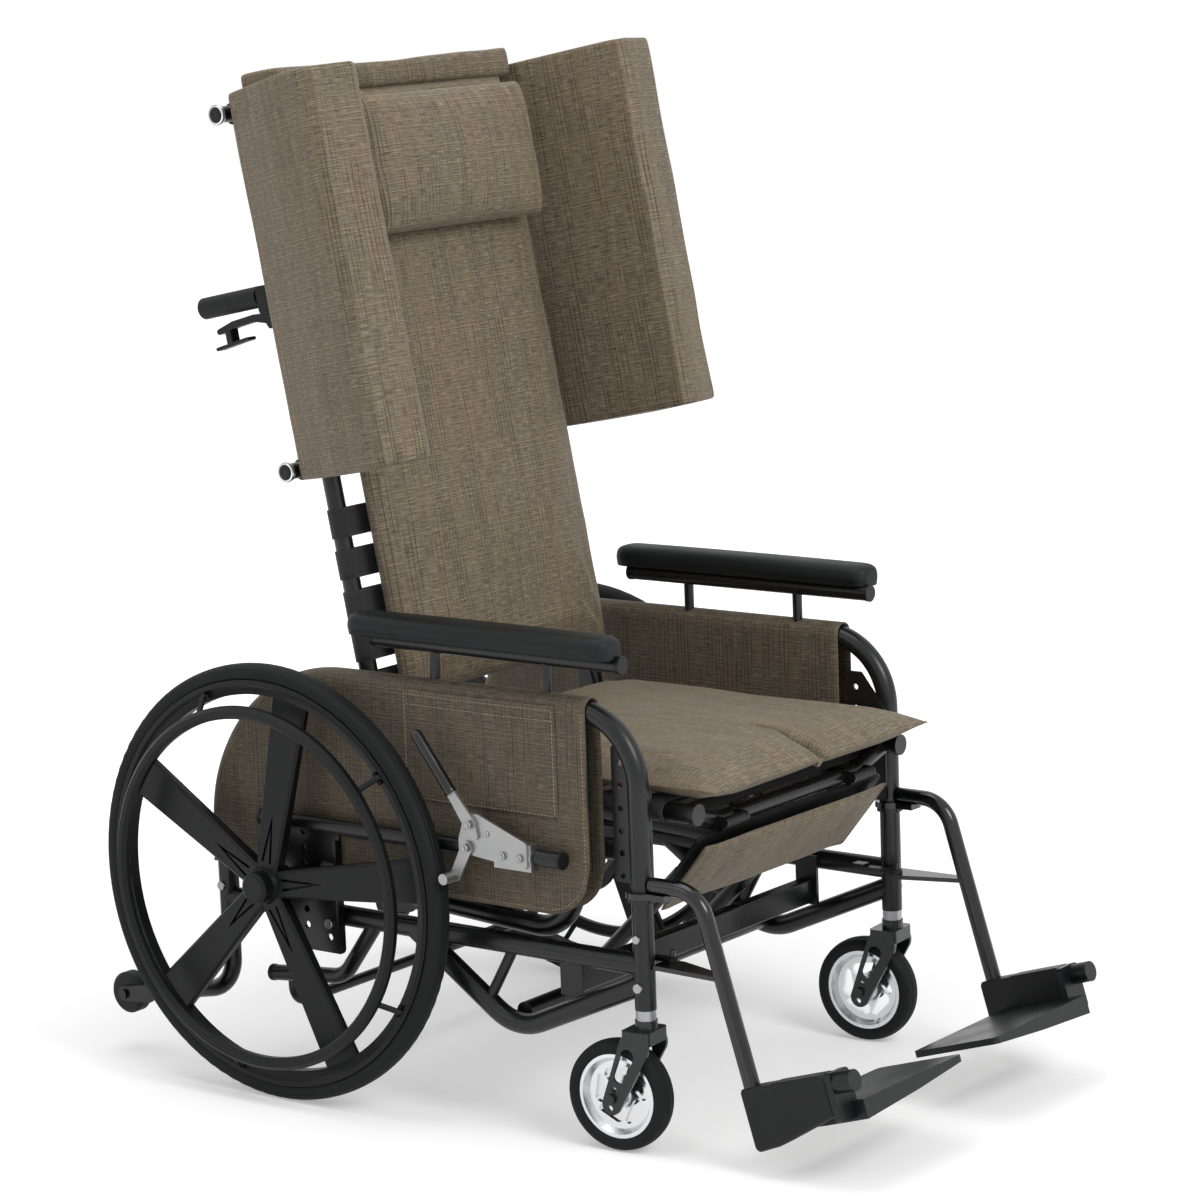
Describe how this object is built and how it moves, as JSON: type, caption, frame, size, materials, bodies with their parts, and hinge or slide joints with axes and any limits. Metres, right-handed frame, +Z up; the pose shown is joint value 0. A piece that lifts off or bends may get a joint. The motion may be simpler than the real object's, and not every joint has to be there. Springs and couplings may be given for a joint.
{
  "type": "tilt-in-space wheelchair",
  "caption": "Tilting and reclining wheelchair with side wings, mag wheels, casters, cloth side panels, swing-away footrests and anti-tip wheels.",
  "frame": {"origin": "middle of the footprint on the floor, under the bounding box", "axes": "+X to the user's left, -Y the way the user faces, +Z up"},
  "size_m": [0.8076, 1.291, 1.4159],
  "materials": {
    "frame_paint": "satin black powder coat",
    "gloss_paint": "gloss black enamel",
    "cloth": "woven crosshatch upholstery cloth in taupe brown",
    "webbing": "black nylon webbing",
    "plastic": "dark charcoal moulded nylon, fine grain",
    "soft_pad": "self-skinned soft urethane",
    "rubber": "moulded rubber grip",
    "tyre": "dark grey solid tyre",
    "steel": "zinc plated steel",
    "bright_metal": "polished cast aluminium",
    "chrome": "ground and chromed piston rod"
  },
  "bodies": {
    "frame": {"side_frame_tubes": "frame_paint", "lower_frame_tubes": "frame_paint", "seat_base_tubes": "frame_paint", "frame_plates": "frame_paint", "cross_tubes": "frame_paint", "tipping_bar": "frame_paint", "brake_bars": "frame_paint", "frame_end_caps": "plastic", "arm_tubes": "frame_paint", "arm_pads": "soft_pad", "side_panels": "cloth", "frame_fittings": "steel", "brake_bases": "steel", "anti_tip_arms": "frame_paint"},
    "seat": {"seat_frame_tubes": "frame_paint", "seat_straps": "webbing", "seat_cushion": "cloth", "seat_plates": "frame_paint"},
    "back": {"back_tubes": "frame_paint", "back_cross_tubes": "frame_paint", "back_straps": "webbing", "back_pad": "cloth", "push_grips": "rubber"},
    "head_pillow": {"head_pillow": "cloth"},
    "calf_rest": {"calf_board": "plastic", "calf_pad": "cloth"},
    "tilt_case": {"tilt_cylinders": "gloss_paint"},
    "tilt_rod": {"tilt_rods": "chrome"},
    "recline_case": {"recline_cylinders": "gloss_paint"},
    "recline_rod": {"recline_rods": "chrome"},
    "rear_wheel_left": {"rear_tyre_left": "tyre", "mag_wheel_left": "plastic", "handrim_left": "gloss_paint"},
    "caster_left": {"caster_fork_left": "frame_paint"},
    "caster_wheel_left": {"caster_rim_left": "bright_metal", "caster_tyre_left": "tyre"},
    "anti_tip_wheel_left": {"anti_tip_wheel_left": "rubber"},
    "brake_lever_left": {"brake_lever_left": "steel"},
    "brake_arm_left": {"brake_arm_left": "steel"},
    "wing_left": {"wing_left": "cloth"},
    "trigger_left": {"trigger_left": "plastic"},
    "hanger_left": {"footrest_hanger_left": "gloss_paint"},
    "latch_left": {"latch_lever_left": "plastic"},
    "foot_extension_left": {"foot_extension_left": "plastic"},
    "footplate_left": {"footplate_left": "plastic"},
    "rear_wheel_right": {"rear_tyre_right": "tyre", "mag_wheel_right": "plastic", "handrim_right": "gloss_paint"},
    "caster_right": {"caster_fork_right": "frame_paint"},
    "caster_wheel_right": {"caster_rim_right": "bright_metal", "caster_tyre_right": "tyre"},
    "anti_tip_wheel_right": {"anti_tip_wheel_right": "rubber"},
    "brake_lever_right": {"brake_lever_right": "steel"},
    "brake_arm_right": {"brake_arm_right": "steel"},
    "wing_right": {"wing_right": "cloth"},
    "trigger_right": {"trigger_right": "plastic"},
    "hanger_right": {"footrest_hanger_right": "gloss_paint"},
    "latch_right": {"latch_lever_right": "plastic"},
    "foot_extension_right": {"foot_extension_right": "plastic"},
    "footplate_right": {"footplate_right": "plastic"}
  },
  "joints": [
    {"name": "seat_tilt", "type": "hinge", "parent": "frame", "child": "seat", "pos_m": [0, -0.0295, 0.4], "axis": [-1, 0, 0], "range_deg": [0, 30]},
    {"name": "back_recline", "type": "hinge", "parent": "seat", "child": "back", "pos_m": [0, 0.1545, 0.45], "axis": [-1, 0, 0], "range_deg": [0, 35]},
    {"name": "head_pillow_slide", "type": "slide", "parent": "back", "child": "head_pillow", "axis": [0, 0.1908, 0.9816], "range_m": [-0.2, 0]},
    {"name": "calf_rest_hinge", "type": "hinge", "parent": "seat", "child": "calf_rest", "pos_m": [0, -0.3635, 0.424], "axis": [-1, 0, 0], "range_deg": [0, 100]},
    {"name": "tilt_case_swing", "type": "hinge", "parent": "frame", "child": "tilt_case", "pos_m": [0, -0.1005, 0.182], "axis": [1, 0, 0], "range_deg": [-18.93, 0]},
    {"name": "tilt_rod_slide", "type": "slide", "parent": "tilt_case", "child": "tilt_rod", "axis": [0, -0.7119, 0.7023], "range_m": [0, 0.09653]},
    {"name": "recline_case_swing", "type": "hinge", "parent": "seat", "child": "recline_case", "pos_m": [0, -0.1295, 0.362], "axis": [1, 0, 0], "range_deg": [0, 2.34]},
    {"name": "recline_rod_slide", "type": "slide", "parent": "recline_case", "child": "recline_rod", "axis": [0, 0.9996, 0.0272], "range_m": [-0.04734, 0]},
    {"name": "rear_wheel_spin_left", "type": "hinge", "parent": "frame", "child": "rear_wheel_left", "pos_m": [0.354, 0.2705, 0.305], "axis": [1, 0, 0], "continuous": true},
    {"name": "caster_swivel_left", "type": "hinge", "parent": "frame", "child": "caster_left", "pos_m": [0.2917, -0.3145, 0.16], "axis": [0, 0, 1], "continuous": true},
    {"name": "caster_wheel_spin_left", "type": "hinge", "parent": "caster_left", "child": "caster_wheel_left", "pos_m": [0.2876, -0.2727, 0.075], "axis": [0.9952, 0.0976, 0], "continuous": true},
    {"name": "anti_tip_spin_left", "type": "hinge", "parent": "frame", "child": "anti_tip_wheel_left", "pos_m": [0.2917, 0.6155, 0.086], "axis": [1, 0, 0], "continuous": true},
    {"name": "brake_lever_turn_left", "type": "hinge", "parent": "frame", "child": "brake_lever_left", "pos_m": [0.3244, -0.0745, 0.424], "axis": [1, 0, 0], "range_deg": [0, 55]},
    {"name": "brake_arm_turn_left", "type": "hinge", "parent": "frame", "child": "brake_arm_left", "pos_m": [0.3244, -0.0675, 0.392], "axis": [1, 0, 0], "range_deg": [0, 13.6]},
    {"name": "wing_slide_left", "type": "slide", "parent": "back", "child": "wing_left", "axis": [1, 0, 0], "range_m": [0, 0.025]},
    {"name": "trigger_squeeze_left", "type": "hinge", "parent": "back", "child": "trigger_left", "pos_m": [0.238, 0.31709, 1.0663], "axis": [1, 0, 0], "range_deg": [0, 6], "stiffness_Nm_per_rad": 2, "springref_deg": -5.73},
    {"name": "hanger_swing_left", "type": "hinge", "parent": "frame", "child": "hanger_left", "pos_m": [0.2917, -0.3145, 0.3], "axis": [0, 0, 1], "range_deg": [0, 90]},
    {"name": "latch_release_left", "type": "hinge", "parent": "hanger_left", "child": "latch_left", "pos_m": [0.2657, -0.3415, 0.256], "axis": [0, 0, 1], "range_deg": [0, 20], "stiffness_Nm_per_rad": 1, "springref_deg": -5.73},
    {"name": "foot_extension_slide_left", "type": "slide", "parent": "hanger_left", "child": "foot_extension_left", "axis": [0, -0.2924, -0.9563], "range_m": [0, 0.05]},
    {"name": "footplate_flip_left", "type": "hinge", "parent": "foot_extension_left", "child": "footplate_left", "pos_m": [0.29, -0.6345, 0.149], "axis": [0, 0.9563, -0.2924], "range_deg": [0, 92]},
    {"name": "rear_wheel_spin_right", "type": "hinge", "parent": "frame", "child": "rear_wheel_right", "pos_m": [-0.354, 0.2705, 0.305], "axis": [1, 0, 0], "continuous": true},
    {"name": "caster_swivel_right", "type": "hinge", "parent": "frame", "child": "caster_right", "pos_m": [-0.2917, -0.3145, 0.16], "axis": [0, 0, 1], "continuous": true},
    {"name": "caster_wheel_spin_right", "type": "hinge", "parent": "caster_right", "child": "caster_wheel_right", "pos_m": [-0.2958, -0.2727, 0.075], "axis": [0.9952, 0.0976, 0], "continuous": true},
    {"name": "anti_tip_spin_right", "type": "hinge", "parent": "frame", "child": "anti_tip_wheel_right", "pos_m": [-0.2917, 0.6155, 0.086], "axis": [1, 0, 0], "continuous": true},
    {"name": "brake_lever_turn_right", "type": "hinge", "parent": "frame", "child": "brake_lever_right", "pos_m": [-0.3244, -0.0745, 0.424], "axis": [1, 0, 0], "range_deg": [0, 55]},
    {"name": "brake_arm_turn_right", "type": "hinge", "parent": "frame", "child": "brake_arm_right", "pos_m": [-0.3244, -0.0675, 0.392], "axis": [1, 0, 0], "range_deg": [0, 13.6]},
    {"name": "wing_slide_right", "type": "slide", "parent": "back", "child": "wing_right", "axis": [-1, 0, 0], "range_m": [0, 0.025]},
    {"name": "trigger_squeeze_right", "type": "hinge", "parent": "back", "child": "trigger_right", "pos_m": [-0.238, 0.31709, 1.0663], "axis": [1, 0, 0], "range_deg": [0, 6], "stiffness_Nm_per_rad": 2, "springref_deg": -5.73},
    {"name": "hanger_swing_right", "type": "hinge", "parent": "frame", "child": "hanger_right", "pos_m": [-0.2917, -0.3145, 0.3], "axis": [0, 0, -1], "range_deg": [0, 90]},
    {"name": "latch_release_right", "type": "hinge", "parent": "hanger_right", "child": "latch_right", "pos_m": [-0.2657, -0.3415, 0.256], "axis": [0, 0, -1], "range_deg": [0, 20], "stiffness_Nm_per_rad": 1, "springref_deg": -5.73},
    {"name": "foot_extension_slide_right", "type": "slide", "parent": "hanger_right", "child": "foot_extension_right", "axis": [0, -0.2924, -0.9563], "range_m": [0, 0.05]},
    {"name": "footplate_flip_right", "type": "hinge", "parent": "foot_extension_right", "child": "footplate_right", "pos_m": [-0.29, -0.6345, 0.149], "axis": [0, -0.9563, 0.2924], "range_deg": [0, 92]}
  ],
  "couplings": [
    {"joint": "tilt_case_swing", "follows": "seat_tilt", "ratio": -0.63058},
    {"joint": "tilt_rod_slide", "follows": "seat_tilt", "m_per_rad": 0.18416},
    {"joint": "recline_case_swing", "follows": "back_recline", "ratio": 0.066502},
    {"joint": "recline_rod_slide", "follows": "back_recline", "m_per_rad": -0.077326},
    {"joint": "brake_arm_turn_left", "follows": "brake_lever_turn_left", "ratio": 0.24546},
    {"joint": "brake_arm_turn_right", "follows": "brake_lever_turn_right", "ratio": 0.24546}
  ]
}
